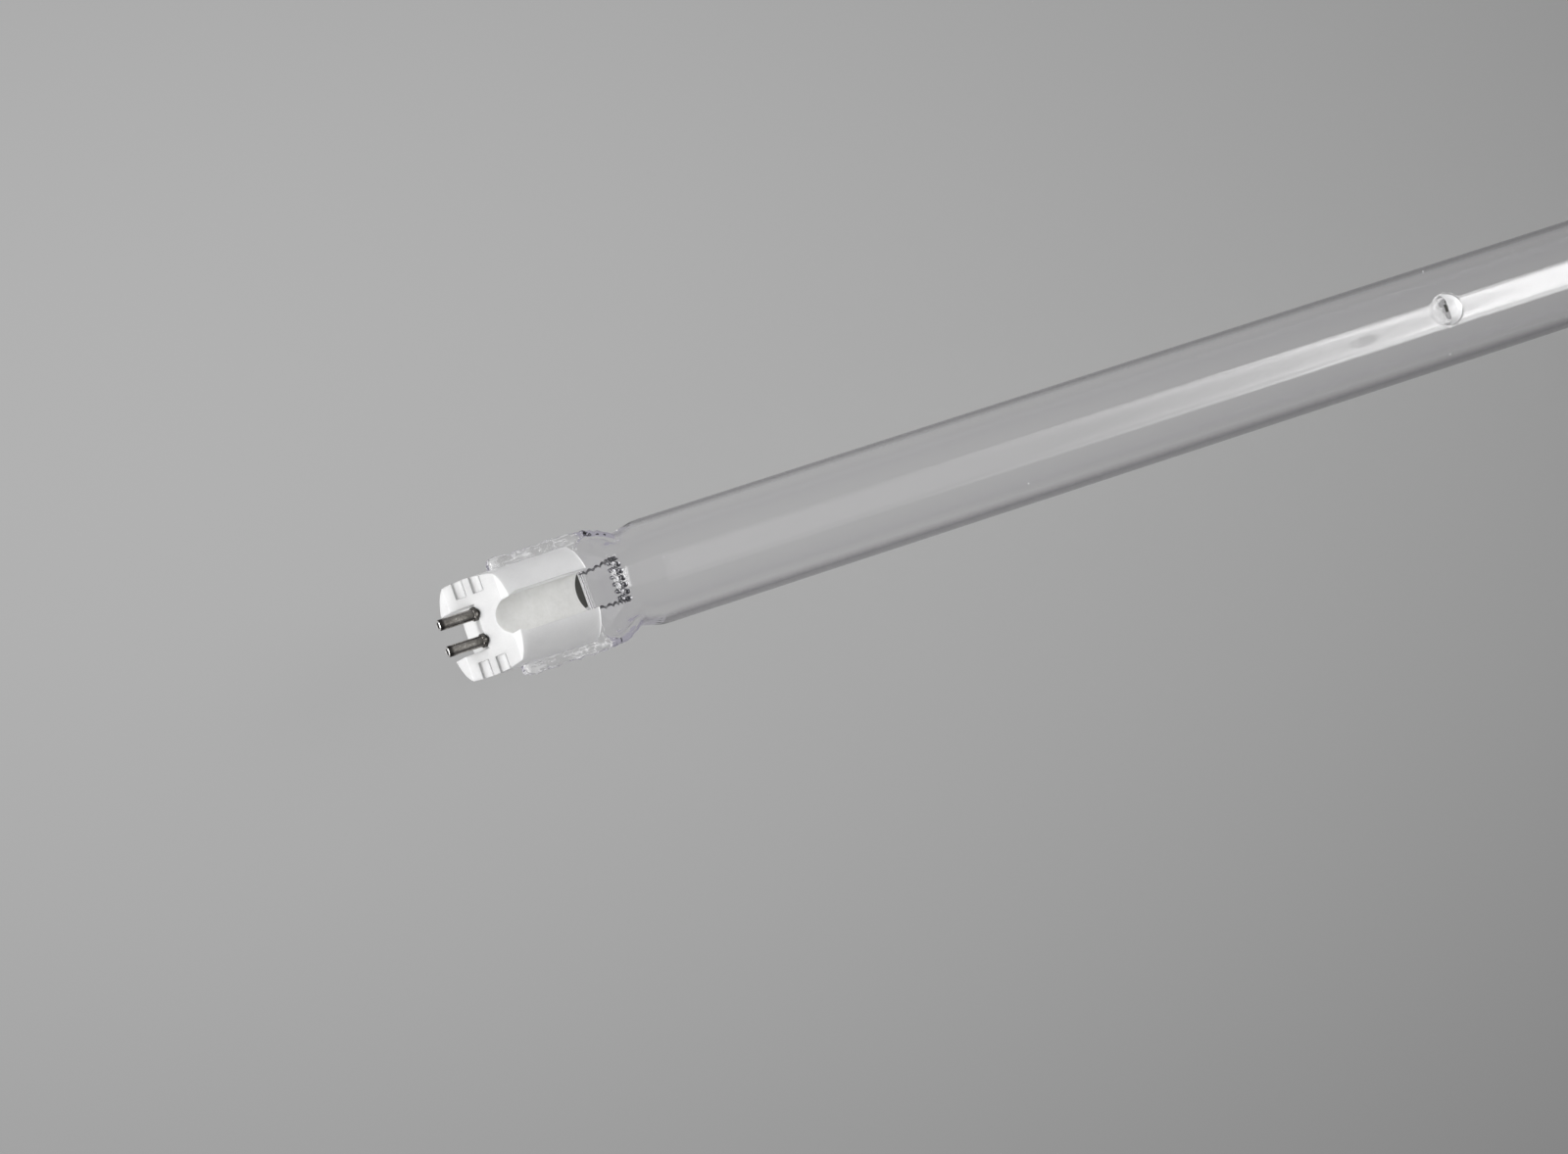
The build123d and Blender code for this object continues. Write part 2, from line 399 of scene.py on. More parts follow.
def tip_rise(x, y, z):
    """How far the outside stands proud at the sealed exhaust tip."""
    d = math.hypot(x - TIP_X, y) / TIP_R
    if z < 0 or d > 1:
        return 0.0
    crown = 1 + TIP_CROWN * math.cos(math.pi * min(1.0, d / TIP_TOP_SHARE))
    return TIP_H * (1 - ease(d, TIP_TOP_SHARE, 1.0)) * crown


def tip_hollow(x, y, z):
    """How far the hollow rises into the exhaust tip."""
    d = math.hypot(x - TIP_X, y) / TIP_HOLLOW_R
    if z < 0 or d > 1:
        return 0.0
    return TIP_HOLLOW_H * (0.5 + 0.5 * math.cos(math.pi * d))


def right_half(rings, radius):
    """The left half's rings mirrored, with plain round tube in place of the exhaust tip."""
    mirrored = []
    for ring in rings[-2::-1]:
        if -ring[0][0] < PLAIN_TUBE_X:
            ring = [
                (x, y * radius / math.hypot(y, z), z * radius / math.hypot(y, z))
                for x, y, z in ring
            ]
        mirrored.append([(-x, y, z) for x, y, z in ring])
    return mirrored


def quartz_envelope():
    """The whole glass: round tube, necked shoulders, flat pinches, exhaust tip and seeds in the wall."""
    stations = glass_stations()
    outer = []
    for s in stations:
        ring = []
        for x, y, z in section(at(s), *between(OUTSIDE, s)):
            y, z = pinched(s, y, z)
            grow = 1 + tip_rise(x, y, z) / TUBE_R
            ring.append((x, y * grow, z * grow))
        outer.append(ring)
    inner = []
    for s in BORE_START_STOPS + [v for v in stations if v > BORE_START_STOPS[-1] + 0.2]:
        ring = []
        for x, y, z in section(at(s), *between(INSIDE, s)):
            grow = 1 + tip_hollow(x, y, z) / BORE_R
            ring.append((x, y * grow, z * grow))
        inner.append(ring)
    verts, faces = [], []
    loft_rings(verts, faces, outer + right_half(outer, TUBE_R))
    outside_faces = len(faces)
    loft_rings(verts, faces, inner + right_half(inner, BORE_R), inward=True)
    wall_faces = len(faces)
    for x, degrees, size in SEEDS:
        a = math.radians(degrees)
        bead(verts, faces, Vector((x, SEED_R * math.cos(a), SEED_R * math.sin(a))), size)
    return link_mesh("quartz_envelope", verts, faces), outside_faces, wall_faces


def outside_finish(x, y, z):
    """Name of the finish at a point in mm of the glass outside."""
    s = HALF_SPAN - abs(x)
    from_tip = x - TIP_X
    # Painted highlight on the tip's right flank
    if z > 0 and math.hypot(from_tip, y) < TIP_FLANK_R and from_tip > TIP_FLANK_X:
        return "tip"
    # Painted shade: a dark slit at the tip's left
    if z > 0 and abs(from_tip - TIP_SLIT_X) < TIP_SLIT_HALF_L and abs(y - TIP_SLIT_Y) < TIP_SLIT_HALF_W:
        return "press_shade"
    if z > 0 and abs(y - PRESS_Y) < PRESS_HALF_W:
        # Painted shade: dark strip of the pinch behind the cement
        if PRESS_SHADE_S < s < PRESS_EDGE_S:
            return "press_shade"
        # Painted highlight: a milky strip at the shaded strip's inner edge
        if PRESS_EDGE_S < s < PRESS_EDGE_S + PRESS_EDGE_W:
            return "press_edge"
    if s >= NECK_END_S:
        return "tube"
    # Painted highlights: milky glint streaks along the pinch's side edges
    glint = wave_height(GLINT_WAVE, s, y, z) + (GLINT_CORNER_MORE if s < GLINT_CORNER_S else 0)
    if abs(y) > GLINT_Y and s < GLINT_END_S and glint > GLINT_LEVEL:
        return "edge"
    return "pinch" if abs(y) > PINCH_EDGE_Y or s < NECK_START_S else "neck"


def finish_glass(envelope, outside_faces, wall_faces, finishes):
    """Give each face of the glass its finish by where it is."""
    names = list(finishes)
    for name in names:
        envelope.data.materials.append(finishes[name])
    for face in envelope.data.polygons:
        x, y, z = (c / MM for c in face.center)
        if face.index >= wall_faces:
            # The seeds share the milky white of the press edge's painted highlight
            name = "press_edge"
        elif face.index >= outside_faces:
            name = "neck_bore" if HALF_SPAN - abs(x) < NECK_END_S else "bore"
        else:
            name = outside_finish(x, y, z)
        face.material_index = names.index(name)


# Pieces at each end


def filament_coil(name, side):
    """A coil wound from a finely coiled wire, across the tube on the two inner leads, with powder on it."""
    low, high = FRONT_LEAD_FAR_Y, BACK_LEAD_FAR_Y
    path = []
    for i in range(COIL_STEPS + 1):
        t = i / COIL_STEPS
        turn = 2 * math.pi * COIL_TURNS * t
        fine = 2 * math.pi * FINE_COIL_TURNS * t
        radial = Vector((math.cos(turn), 0, math.sin(turn)))
        r = COIL_R + FINE_COIL_R * math.cos(fine) + COIL_SWAY * math.sin(t * COIL_SWAY_RATE)
        along = Vector((0, 1, 0)) * FINE_COIL_R * math.sin(fine)
        path.append(tuple(Vector((at(COIL_S), low + (high - low) * t, 0)) + radial * r + along))
    verts, faces = [], []
    loft_rings(verts, faces, tube_along(path, COIL_WIRE_R, 6))
    wire_faces = len(faces)
    random_powder = random.Random(7)
    lumps = COIL_TURNS * POWDER_LUMPS_PER_TURN
    for k in range(lumps + LOOSE_LUMPS):
        if k < lumps:
            t = (k + 0.3 + 0.4 * random_powder.random()) / lumps
            size = POWDER_LUMP_R + POWDER_LUMP_MORE_R * random_powder.random()
        else:
            t = random_powder.random()
            size = LOOSE_LUMP_R
        turn = 2 * math.pi * COIL_TURNS * t
        x = at(COIL_S) + POWDER_R * math.cos(turn)
        bead(verts, faces, Vector((x, low + (high - low) * t, POWDER_R * math.sin(turn))), size)
    return to_end(link_mesh(name, verts, faces), side), wire_faces


def wound_lead(name, side, y, far_y):
    """A lead from the pinch to the coil, wound with fine wire, its end hooked round the coil."""
    core = [
        (at(16.0), y, 0), (at(19.0), y, 0), (at(21.5), y, 0.05), (at(24.5), y + (far_y - y) * 0.5, 0.2),
        (at(26.3), far_y, 0.3), (at(27.4), far_y, 0.1), (at(27.9), far_y, -0.4),
    ]
    points = smooth_path(core, 8)
    wound = [p for p in points if p[0] > at(LEAD_WRAP_START_S)]
    steps = LEAD_WRAP_TURNS * 8
    wrap = []
    for i in range(steps + 1):
        t = i / steps * (len(wound) - 1)
        k = min(int(t), len(wound) - 2)
        here = Vector(wound[k]).lerp(Vector(wound[k + 1]), t - k)
        a = 2 * math.pi * LEAD_WRAP_TURNS * i / steps
        wrap.append(tuple(here + Vector((0, math.cos(a), math.sin(a))) * LEAD_WRAP_R))
    verts, faces = [], []
    loft_rings(verts, faces, tube_along(points, LEAD_CORE_R, 8))
    loft_rings(verts, faces, tube_along(wrap, LEAD_WRAP_WIRE_R, 6))
    return to_end(link_mesh(name, verts, faces), side)


def contact_pin(name, side, y):
    """A hollow pin with a rolled tip and a collar where it leaves the ceramic."""
    outline = [
        (-5.4, 0.04), (-5.4, 0.42), (-5.6, 0.52), (-7.0, 0.55), (-7.14, 0.6), (-7.2, 0.7), (-7.17, 0.82),
        (-7.08, 0.92), (-6.9, 0.985), (-6.7, 1.0), (-3.0, 1.0), (-0.8, 1.0), (-0.7, 1.02), (-0.68, 1.18),
        (-0.6, 1.25), (0.0, 1.25), (0.08, 1.2), (0.1, 1.0), (3.0, 1.0), (3.2, 0.8), (3.2, 0.04),
    ]
    sides = 40
    turns = [2 * math.pi * k / sides for k in range(sides)]
    rings = [[(at(s), y + r * math.cos(a), r * math.sin(a)) for a in turns] for s, r in outline]
    verts, faces = [], []
    loft_rings(verts, faces, rings)
    return to_end(link_mesh(name, verts, faces), side)


def bevel_z(station):
    """Height of the cap's bevelled nose at a station."""
    return BEVEL_LOW_Z + (station - BEVEL_START_S) * BEVEL_SLOPE_H / BEVEL_SLOPE_L


def notch_floors(name, side):
    """The floors of the four notches: shallow, parallel to the bevel, and rounded up to it at both ends."""
    verts, faces = [], []
    for middle in NOTCH_MIDDLES_S:
        low = bevel_z(middle) - NOTCH_FILL
        low_y = math.sqrt(NOTCH_OUT_R ** 2 - low ** 2)
        for sign in (1, -1):
            rings = []
            for k in range(NOTCH_STEPS + 1):
                u = -1 + 2 * k / NOTCH_STEPS
                s = middle + NOTCH_HALF_W * u
                top = bevel_z(s) - NOTCH_LIP - (NOTCH_DEPTH - NOTCH_LIP) * (1 - abs(u) ** NOTCH_ROUNDING)
                top_y = math.sqrt(NOTCH_OUT_R ** 2 - top ** 2)
                corners = [
                    (NOTCH_IN_Y, low), (NOTCH_IN_Y, top), (NOTCH_IN_Y + 0.7, top - NOTCH_SAG),
                    (NOTCH_IN_Y + 1.7, top - NOTCH_SAG), (top_y, top), (low_y, low),
                ]
                rings.append([(at(s), sign * y, z) for y, z in corners])
            loft_rings(verts, faces, rings, inward=sign < 0)
    return to_end(link_mesh(name, verts, faces), side)


# Shader nodes


def fill_inputs(node, inputs):
    """Set a node's inputs to plain values, or link other nodes' outputs to them."""
    for label, given in inputs.items():
        if isinstance(given, bpy.types.NodeSocket):
            node.id_data.links.new(given, node.inputs[label])
        else:
            node.inputs[label].default_value = given


def add_node(tree, kind, inputs, **settings):
    """A node with its settings, and its inputs filled."""
    node = tree.nodes.new("ShaderNode" + kind)
    for name, value in settings.items():
        setattr(node, name, value)
    fill_inputs(node, inputs)
    return node


def maths(tree, operation, *inputs):
    """Result of a maths step on outputs or plain numbers."""
    return add_node(tree, "Math", dict(enumerate(inputs)), operation=operation).outputs["Value"]


def map_range(tree, value, low, high, to_low=0.0, to_high=1.0):
    """A value moved from one range to another."""
    limits = {"From Min": low, "From Max": high, "To Min": to_low, "To Max": to_high}
    return add_node(tree, "MapRange", {"Value": value, **limits}).outputs["Result"]


def position(tree, kind="Object"):
    """The shaded point, in the object's own space unless said otherwise."""
    return add_node(tree, "TexCoord", {}).outputs[kind]


def parts_of(tree, vector):
    """X, Y and Z of a vector."""
    return add_node(tree, "SeparateXYZ", {"Vector": vector}).outputs


def colour_ramp(tree, value, stops):
    """A colour that runs through stops of position and colour, the lowest first."""
    ramp = add_node(tree, "ValToRGB", {"Fac": value})
    marks = ramp.color_ramp.elements
    for k, (place, colour) in enumerate(stops):
        mark = marks[k] if k < 2 else marks.new(place)
        mark.position = place
        mark.color = (*colour, 1)
    return ramp.outputs["Color"]


def grey_ramp(tree, value, stops):
    """A grey that runs through stops of position and level, the lowest first."""
    return colour_ramp(tree, value, [(place, (level, level, level)) for place, level in stops])


def mix_colours(tree, factor, first, second, blend="MIX"):
    """Two colours mixed."""
    inputs = {0: factor, 6: first, 7: second}
    return add_node(tree, "Mix", inputs, data_type="RGBA", blend_type=blend).outputs[2]


def mix_shaders(tree, factor, first, second):
    """Two shaders mixed."""
    return add_node(tree, "MixShader", {0: factor, 1: first, 2: second}).outputs["Shader"]


def node_group(name, inputs, outputs):
    """An empty shader group with number sockets."""
    group = bpy.data.node_groups.new(name, "ShaderNodeTree")
    for label, value in inputs.items():
        socket = group.interface.new_socket(label, in_out="INPUT", socket_type="NodeSocketFloat")
        socket.default_value = value
    for label in outputs:
        group.interface.new_socket(label, in_out="OUTPUT", socket_type="NodeSocketFloat")
    return group, group.nodes.new("NodeGroupInput").outputs, group.nodes.new("NodeGroupOutput")


def grain_group():
    """Fine and coarse mottling from one position, as a mask and a height."""
    settings = {"Fine Scale": 2000.0, "Coarse Scale": 300.0, "Fine Share": 0.5}
    group, given, made = node_group("mottled_grain", settings, ["Mask", "Height"])
    place = position(group)
    fine = add_node(group, "TexNoise", {"Vector": place, "Scale": given["Fine Scale"], "Detail": 4})
    coarse = add_node(group, "TexNoise", {"Vector": place, "Scale": given["Coarse Scale"], "Detail": 3})
    blend = add_node(group, "Mix", {0: given["Fine Share"], 2: coarse.outputs["Fac"], 3: fine.outputs["Fac"]})
    height = blend.outputs[0]
    fill_inputs(made, {"Mask": map_range(group, height, 0.35, 0.65), "Height": height})
    return group


def drawn_line_group():
    """Long faint lines along the lamp, as drawn glass and drawn wire have."""
    settings = {"Across Scale": 900.0, "Along Scale": 6.0}
    group, given, made = node_group("drawn_lines", settings, ["Height"])
    parts = parts_of(group, position(group))
    scales = {"X": given["Along Scale"], "Y": given["Across Scale"], "Z": given["Across Scale"]}
    stretched = {axis: maths(group, "MULTIPLY", parts[axis], scale) for axis, scale in scales.items()}
    vector = add_node(group, "CombineXYZ", stretched).outputs["Vector"]
    lines = add_node(group, "TexNoise", {"Vector": vector, "Scale": 1, "Detail": 2})
    fill_inputs(made, {"Height": lines.outputs["Fac"]})
    return group


def edge_wave_group():
    """Soft waves that only show far from the lamp's middle line, as on the pinch's side edges."""
    settings = {"Scale": 900.0, "Start": 0.008, "End": 0.0095}
    group, given, made = node_group("edge_waves", settings, ["Height"])
    place = position(group)
    from_middle = maths(group, "ABSOLUTE", parts_of(group, place)["Y"])
    share = map_range(group, from_middle, given["Start"], given["End"])
    stretch = add_node(group, "Mapping", {"Vector": place, "Scale": (0.22, 1, 1)})
    inputs = {"Vector": stretch.outputs["Vector"], "Scale": given["Scale"], "Detail": 1}
    waves = add_node(group, "TexNoise", inputs)
    fill_inputs(made, {"Height": maths(group, "MULTIPLY", waves.outputs["Fac"], share)})
    return group


GRAIN = grain_group()
DRAWN = drawn_line_group()
EDGE_WAVES = edge_wave_group()


def place_group(tree, group, inputs):
    """Outputs of a shader group put into a material with its own values."""
    node = tree.nodes.new("ShaderNodeGroup")
    node.node_tree = group
    fill_inputs(node, inputs)
    return node.outputs


def grain(tree, fine_scale, coarse_scale, fine_share):
    """Mask and height of the mottling."""
    inputs = {"Fine Scale": fine_scale, "Coarse Scale": coarse_scale, "Fine Share": fine_share}
    return place_group(tree, GRAIN, inputs)


# Materials


def new_material(name, colour, roughness, metallic=0.0):
    """A material, its nodes, and its Principled shader with its own values set."""
    material = bpy.data.materials.new(name)
    material.use_nodes = True
    shader = material.node_tree.nodes["Principled BSDF"]
    fill_inputs(shader, {"Base Color": (*colour, 1), "Roughness": roughness, "Metallic": metallic})
    return material, material.node_tree, shader


def colour_between(tree, shader, mask, low, high):
    """Base colour that runs from one colour to another with a mask."""
    fill_inputs(shader, {"Base Color": mix_colours(tree, mask, (*low, 1), (*high, 1))})


def roughness_between(tree, shader, mask, low, high):
    """Roughness that runs between two values with a mask."""
    fill_inputs(shader, {"Roughness": map_range(tree, mask, 0.0, 1.0, low, high)})


def bump_from(tree, shader, height, strength, distance):
    """Relief from a height."""
    bump = add_node(tree, "Bump", {"Strength": strength, "Distance": distance, "Height": height})
    fill_inputs(shader, {"Normal": bump.outputs["Normal"]})
    return bump


def let_light_through(tree, shader, reach):
    """Shadow rays pass the glass a little dimmed; paths longer than the reach end in a painted grey glow."""
    rays = add_node(tree, "LightPath", {}).outputs
    # Painted light: a grey glow where long paths through the glass end
    painted_glow = add_node(tree, "Emission", {"Color": (0.33, 0.32, 0.37, 1)}).outputs["Emission"]
    clear = add_node(tree, "BsdfTransparent", {"Color": (0.93, 0.93, 0.93, 1)}).outputs["BSDF"]
    too_long = maths(tree, "GREATER_THAN", rays["Ray Depth"], reach)
    filled = mix_shaders(tree, too_long, shader.outputs["BSDF"], painted_glow)
    seen = mix_shaders(tree, rays["Is Shadow Ray"], filled, clear)
    fill_inputs(tree.nodes["Material Output"], {"Surface": seen})


def painted_edge_shade(tree, grazing_shade):
    """Painted shade darkening the rim: clear in the middle, wider at the front of the tube than at its back.
    """
    facing = add_node(tree, "LayerWeight", {}).outputs["Facing"]
    across = parts_of(tree, position(tree))["Y"]
    shift = map_range(tree, across, -TUBE_R * MM, TUBE_R * MM, 0.05, -0.09)
    edge = maths(tree, "ADD", facing, shift)
    return colour_ramp(tree, edge, [(0.44, (0.985, 0.982, 0.985)), (0.62, grazing_shade)])


def clear_quartz(name, rim_shade=None, wavy_edge=False, mirror=0.5, reach=6.5):
    """Clear fused quartz with faint drawn lines or wavy edges, and if asked painted shade at its rim."""
    material, tree, shader = new_material(name, (0.985, 0.982, 0.985), 0.0)
    fill_inputs(shader, {"Specular IOR Level": mirror, "Transmission Weight": 1.0, "IOR": 1.458})
    if wavy_edge:
        waves = place_group(tree, EDGE_WAVES, {"Scale": 900.0, "Start": 8.3 * MM, "End": 9.2 * MM})
        bump_from(tree, shader, waves["Height"], 0.28, 0.0005)
    else:
        lines = place_group(tree, DRAWN, {"Across Scale": 1400.0, "Along Scale": 2.0})
        bump_from(tree, shader, lines["Height"], 0.012, 0.0002)
    if rim_shade:
        fill_inputs(shader, {"Base Color": painted_edge_shade(tree, rim_shade)})
    let_light_through(tree, shader, reach)
    return material


def milky_quartz(name, transmission, fine_scale):
    """Milky white quartz, mottled: painted highlights on the glass, and the white of seeds in its wall."""
    material, tree, shader = new_material(name, (0.95, 0.95, 0.95), 0.12)
    fill_inputs(shader, {"Transmission Weight": transmission, "IOR": 1.458})
    white_mottle = grain(tree, fine_scale, 500.0, 0.3)
    colour_between(tree, shader, white_mottle["Mask"], (0.9, 0.9, 0.9), (1.0, 1.0, 1.0))
    bump_from(tree, shader, white_mottle["Height"], 0.2, 0.0001)
    let_light_through(tree, shader, 3.5)
    return material


def shaded_press():
    """Painted shade: a dark strip on the pinch behind the cement, where it lies in shade."""
    material, tree, shader = new_material("press_shade", (0.05, 0.05, 0.045), 0.25)
    mottle = grain(tree, 1800.0, 300.0, 0.4)
    colour_between(tree, shader, mottle["Mask"], (0.04, 0.04, 0.036), (0.075, 0.074, 0.066))
    return material


def white_steatite():
    """Fired white ceramic, satin, with a faint speckle and moulded edges that shade as rounded."""
    material, tree, shader = new_material("white_steatite", (0.86, 0.86, 0.855), 0.42)
    fill_inputs(shader, {
        "Specular IOR Level": 0.45,
        "Subsurface Weight": 0.5,
        "Subsurface Radius": (1.0, 1.0, 1.0),
        "Subsurface Scale": 0.0018,
    })
    speckle = grain(tree, 2600.0, 260.0, 0.4)
    colour_between(tree, shader, speckle["Mask"], (0.785, 0.785, 0.78), (0.83, 0.83, 0.825))
    roughness_between(tree, shader, speckle["Mask"], 0.36, 0.5)
    bump = bump_from(tree, shader, speckle["Height"], 0.25, 0.00004)
    rounded = add_node(tree, "Bevel", {"Radius": 0.00028}, samples=6)
    fill_inputs(bump, {"Normal": rounded.outputs["Normal"]})
    return material


def pale_cement():
    """Basing cement, matt and mottled grey-green."""
    material, tree, shader = new_material("pale_cement", (0.83, 0.83, 0.81), 0.8)
    mottle = grain(tree, 1500.0, 420.0, 0.45)
    colour_between(tree, shader, mottle["Mask"], (0.79, 0.79, 0.765), (0.86, 0.86, 0.84))
    roughness_between(tree, shader, mottle["Mask"], 0.6, 0.9)
    bump_from(tree, shader, mottle["Height"], 0.5, 0.00015)
    return material


def dull_nickel():
    """Nickel-plated pin: white end, dark ring behind it, dull grey-brown, and painted shade at the root."""
    material, tree, shader = new_material("dull_nickel", (0.3, 0.28, 0.26), 0.3, 1.0)
    mottle = grain(tree, 3000.0, 700.0, 0.5)
    plate = mix_colours(tree, mottle["Mask"], (0.24, 0.225, 0.205, 1), (0.46, 0.44, 0.41, 1))
    outward = maths(tree, "ABSOLUTE", parts_of(tree, position(tree))["X"])
    along = map_range(tree, outward, HALF_SPAN * MM, (HALF_SPAN + PIN_L) * MM)
    # Darkening along the pin: its dark start is painted shade where the pin leaves the ceramic
    levels = [(0.0, 0.12), (0.18, 0.75), (0.5, 1.0), (0.84, 0.85), (0.9, 0.18), (0.965, 0.12), (0.985, 1.0)]
    darkening_along_pin = grey_ramp(tree, along, levels)
    white_end = map_range(tree, along, 0.98, 0.988)
    darkened_plate = mix_colours(tree, 1, plate, darkening_along_pin, "MULTIPLY")
    fill_inputs(shader, {"Base Color": mix_colours(tree, white_end, darkened_plate, (0.97, 0.96, 0.95, 1))})
    roughness_between(tree, shader, mottle["Mask"], 0.14, 0.28)
    return material


def coated_tungsten():
    """Dark tungsten wire."""
    material, tree, shader = new_material("coated_tungsten", (0.2, 0.2, 0.2), 0.5, 0.6)
    mottle = grain(tree, 2500.0, 1300.0, 0.5)
    colour_between(tree, shader, mottle["Mask"], (0.015, 0.017, 0.021), (0.09, 0.095, 0.105))
    roughness_between(tree, shader, mottle["Mask"], 0.35, 0.6)
    return material


def emitter_powder():
    """White emitter powder in small lumps."""
    material, tree, shader = new_material("emitter_powder", (0.8, 0.8, 0.78), 0.9)
    mottle = grain(tree, 4000.0, 1500.0, 0.5)
    colour_between(tree, shader, mottle["Mask"], (0.88, 0.88, 0.87), (0.98, 0.98, 0.98))
    return material


def grey_molybdenum():
    """Drawn molybdenum wire and foil."""
    material, tree, shader = new_material("grey_molybdenum", (0.4, 0.4, 0.4), 0.35, 1.0)
    mottle = grain(tree, 2500.0, 900.0, 0.6)
    colour_between(tree, shader, mottle["Mask"], (0.05, 0.05, 0.055), (0.22, 0.22, 0.22))
    roughness_between(tree, shader, mottle["Mask"], 0.25, 0.5)
    lines = place_group(tree, DRAWN, {"Across Scale": 5000.0, "Along Scale": 120.0})
    bump_from(tree, shader, lines["Height"], 0.3, 0.00002)
    return material


def dull_amalgam():
    """A bead of amalgam, silver-grey and slightly grainy."""
    material, tree, shader = new_material("dull_amalgam", (0.6, 0.6, 0.61), 0.4, 0.9)
    mottle = grain(tree, 2200.0, 500.0, 0.5)
    colour_between(tree, shader, mottle["Mask"], (0.42, 0.42, 0.43), (0.7, 0.7, 0.71))
    roughness_between(tree, shader, mottle["Mask"], 0.3, 0.55)
    bump_from(tree, shader, mottle["Height"], 0.4, 0.0001)
    return material


def glass_finishes():
    """The glass's materials by the name of each finish."""
    return {
        # The colour given with each clear quartz is painted shade at its rim
        "tube": clear_quartz("clear_quartz", (0.25, 0.24, 0.26)),
        "pinch": clear_quartz("pinched_quartz", (0.6, 0.58, 0.66), wavy_edge=True, reach=3.5),
        "edge": milky_quartz("pinch_edge_painted_glints", 0.45, 1200.0),
        "neck": clear_quartz("neck_quartz", (0.42, 0.40, 0.46), mirror=0.0, reach=3.5),
        "bore": clear_quartz("clear_quartz_bore"),
        "neck_bore": clear_quartz("neck_quartz_bore", mirror=0.0, reach=3.5),
        "tip": milky_quartz("tip_painted_highlight", 0.12, 1500.0),
        "press_shade": shaded_press(),
        "press_edge": milky_quartz("seeds_and_painted_press_highlight", 0.2, 3000.0),
    }


# The lamp


def dress(piece, material, smooth_angle=None):
    """Give a piece its material, and smooth shading up to an angle."""
    piece.data.materials.clear()
    piece.data.materials.append(material)
    if smooth_angle is not None:
        piece.data.polygons.foreach_set("use_smooth", [True] * len(piece.data.polygons))
        piece.data.set_sharp_from_angle(angle=math.radians(smooth_angle))


def second_finish(piece, material, first_face):
    """A second material on the faces from a number on."""
    piece.data.materials.append(material)
    for face in piece.data.polygons[first_face:]:
        face.material_index = 1


def build_lamp():
    """Dress the CAD pieces that stay, and put modelled meshes in place of the others."""
    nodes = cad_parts
    finishes = glass_finishes()
    powder = emitter_powder()
    ceramic = white_steatite()
    cement = pale_cement()
    nickel = dull_nickel()
    tungsten = coated_tungsten()
    molybdenum = grey_molybdenum()
    amalgam = dull_amalgam()

    envelope, outside_faces, wall_faces = quartz_envelope()
    finish_glass(envelope, outside_faces, wall_faces, finishes)
    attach(envelope, "root")
    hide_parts("quartz_tube")

    dress(nodes["amalgam_pellet"], amalgam, 40)
    for side in ("left", "right"):
        dress(nodes[side + "_ceramic_cap"], ceramic, 25)
        dress(nodes[side + "_cap_cement"], cement, 25)
        floors = notch_floors(side + "_notch_floors", side)
        dress(floors, ceramic, 25)
        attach(floors, "root")
        coil, wire_faces = filament_coil(side + "_filament_coil", side)
        dress(coil, tungsten)
        second_finish(coil, powder, wire_faces)
        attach(coil, "root")
        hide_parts(side + "_filament")
        for place, sign, far_y in (("back", 1, BACK_LEAD_FAR_Y), ("front", -1, FRONT_LEAD_FAR_Y)):
            pin = contact_pin(f"{side}_{place}_hollow_pin", side, sign * PIN_Y)
            dress(pin, nickel, 35)
            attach(pin, "root")
            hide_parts(f"{side}_{place}_contact_pin")
            dress(nodes[f"{side}_{place}_outer_lead"], molybdenum, 30)
            dress(nodes[f"{side}_{place}_foil"], molybdenum, 30)
            lead = wound_lead(f"{side}_{place}_wound_lead", side, sign * LEAD_Y, far_y)
            dress(lead, molybdenum)
            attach(lead, "root")
            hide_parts(f"{side}_{place}_inner_lead")


# Studio


def studio_floor():
    """A grey floor under the lamp with a painted pool of light, mostly lit by itself so shade stays faint."""
    corners = [(-1, -1), (1, -1), (1, 1), (-1, 1)]
    verts = [(x * FLOOR_HALF, y * FLOOR_HALF, -TUBE_R - FLOOR_GAP) for x, y in corners]
    floor = link_mesh("studio_floor", verts, [(0, 1, 2, 3)])
    material, tree, shader = new_material("grey_paper", (0.42, 0.42, 0.42), 0.9)
    pool = add_node(tree, "Mapping", {
        "Vector": position(tree),
        "Location": POOL_PLACE_M,
        "Rotation": (0, 0, math.radians(POOL_TURN)),
        "Scale": POOL_SIZE_M,
    }, vector_type="TEXTURE").outputs["Vector"]
    far = add_node(tree, "VectorMath", {0: pool, 1: pool}, operation="DOT_PRODUCT").outputs["Value"]
    fade = maths(tree, "EXPONENT", maths(tree, "MULTIPLY", far, POOL_FALL))
    level = maths(tree, "MULTIPLY_ADD", fade, POOL_LIGHT, PAPER_LIGHT)
    shade = maths(tree, "SMOOTH_MAX", level, PAPER_DARKEST, PAPER_BLEND)
    fill_inputs(shader, {"Base Color": shade, "Specular IOR Level": 0.0})
    glow = add_node(tree, "Emission", {"Color": shade}).outputs["Emission"]
    rays = add_node(tree, "LightPath", {}).outputs
    seen = maths(tree, "MAXIMUM", rays["Is Camera Ray"], rays["Is Glossy Ray"])
    seen = maths(tree, "MAXIMUM", seen, rays["Is Transmission Ray"])
    own_light = maths(tree, "MULTIPLY", seen, PAPER_OWN_LIGHT)
    surface = mix_shaders(tree, own_light, shader.outputs["BSDF"], glow)
    fill_inputs(tree.nodes["Material Output"], {"Surface": surface})
    floor.data.materials.append(material)


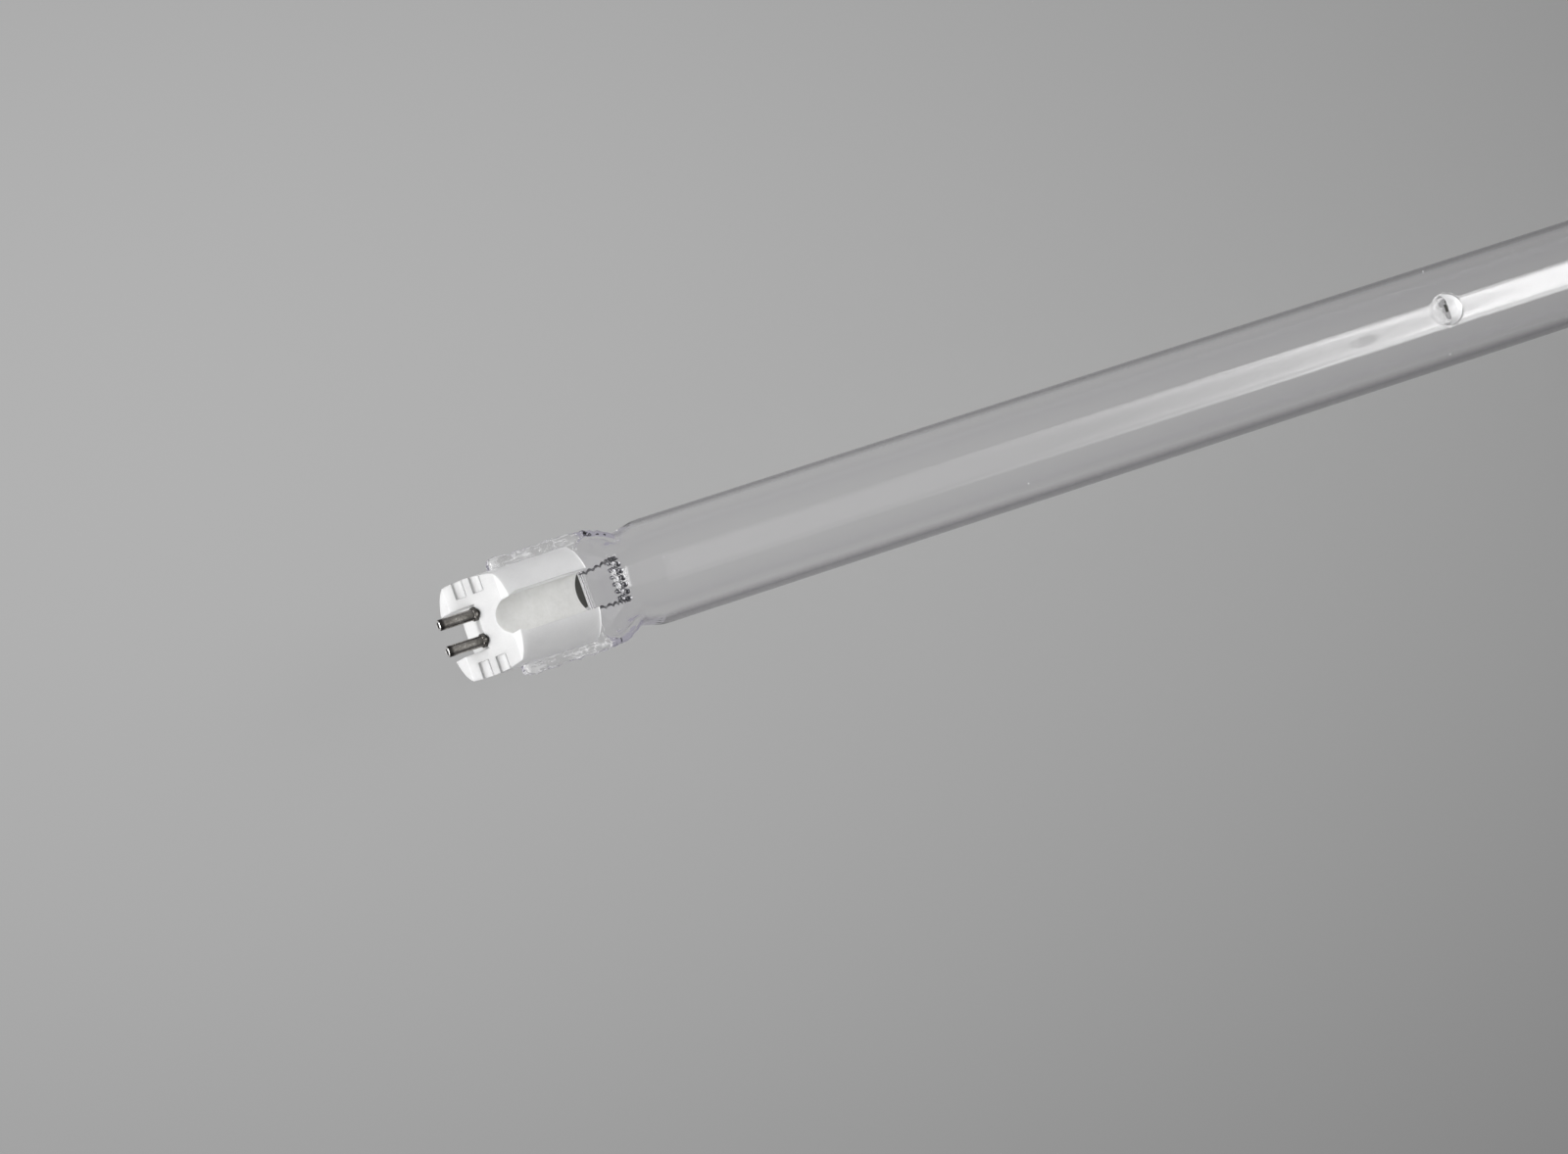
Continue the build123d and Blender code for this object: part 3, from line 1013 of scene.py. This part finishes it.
def studio_world():
    """Soft even light from above, darker low down, so that the glass edges read dark."""
    world = bpy.data.worlds.new("studio")
    bpy.context.scene.world = world
    world.use_nodes = True
    tree = world.node_tree
    parts = parts_of(tree, position(tree, "Generated"))
    light = colour_ramp(tree, parts["Z"], [(0.0, (0.24, 0.235, 0.27)), (0.75, (0.52, 0.52, 0.52))])
    strength = map_range(tree, parts["Y"], -1, 1, 0.62, 1.12)
    fill_inputs(tree.nodes["Background"], {"Color": light, "Strength": strength})


def area_lamp(name, place, target, size, power):
    """A soft rectangular lamp at a place in metres, turned to a target, and not seen through glass."""
    light = bpy.data.lights.new(name, "AREA")
    light.shape = "RECTANGLE"
    light.size, light.size_y = size
    light.energy = power
    lamp = bpy.data.objects.new(name, light)
    bpy.context.scene.collection.objects.link(lamp)
    lamp.location = place
    lamp.rotation_mode = "QUATERNION"
    lamp.rotation_quaternion = (Vector(target) - Vector(place)).to_track_quat("-Z", "Y")
    lamp.visible_transmission = False


def streak_panel():
    """A long soft panel that only the glass and metal mirror, brighter to the right."""
    (x0, x1), (y0, y1), z = PANEL_X, PANEL_Y, PANEL_Z
    verts = [(x0, y0, z), (x1, y0, z), (x1, y1, z), (x0, y1, z)]
    panel = link_mesh("streak_panel", verts, [(0, 3, 2, 1)])
    material = bpy.data.materials.new("panel_light")
    material.use_nodes = True
    tree = material.node_tree
    tree.nodes.remove(tree.nodes["Principled BSDF"])
    along = map_range(tree, parts_of(tree, position(tree))["X"], *PANEL_RAMP_X_M)
    levels = [
        (0.0, 0.1), (0.23, 0.145), (0.5, 0.145), (0.63, 0.29), (0.716, 0.46), (0.765, 0.55), (0.8, 0.86),
    ]
    light = grey_ramp(tree, along, levels)
    glow = add_node(tree, "Emission", {"Strength": maths(tree, "MULTIPLY", light, PANEL_LIGHT)})
    fill_inputs(tree.nodes["Material Output"], {"Surface": glow.outputs["Emission"]})
    panel.data.materials.append(material)
    panel.visible_camera = False
    panel.visible_diffuse = False
    panel.visible_shadow = False


def photo_camera():
    """The photograph's camera: a long lens, above and beyond the left end."""
    away = Vector(CAMERA_AWAY)
    up = Vector(CAMERA_UP)
    right = away.cross(up)
    camera = bpy.data.objects.new("camera", bpy.data.cameras.new("camera"))
    bpy.context.scene.collection.objects.link(camera)
    turn = Matrix((right, up, -away)).transposed().to_4x4()
    camera.matrix_world = Matrix.Translation(Vector(CAMERA_PLACE) * MM) @ turn
    camera.data.sensor_width = CAMERA_FILM_W
    camera.data.lens = CAMERA_LENS
    camera.data.clip_start = 0.05
    camera.data.clip_end = 20
    bpy.context.scene.camera = camera


build_lamp()
studio_floor()
studio_world()
streak_panel()
area_lamp("left_lamp", (-1.66, 0.0, 0.25), (-0.2, 0, 0), (2.4, 0.48), 28)
area_lamp("right_lamp", (1.0, 0.12, 0.28), (-0.02, 0, 0.01), (0.6, 0.4), 14)
photo_camera()
bpy.context.scene.view_settings.view_transform = "Standard"
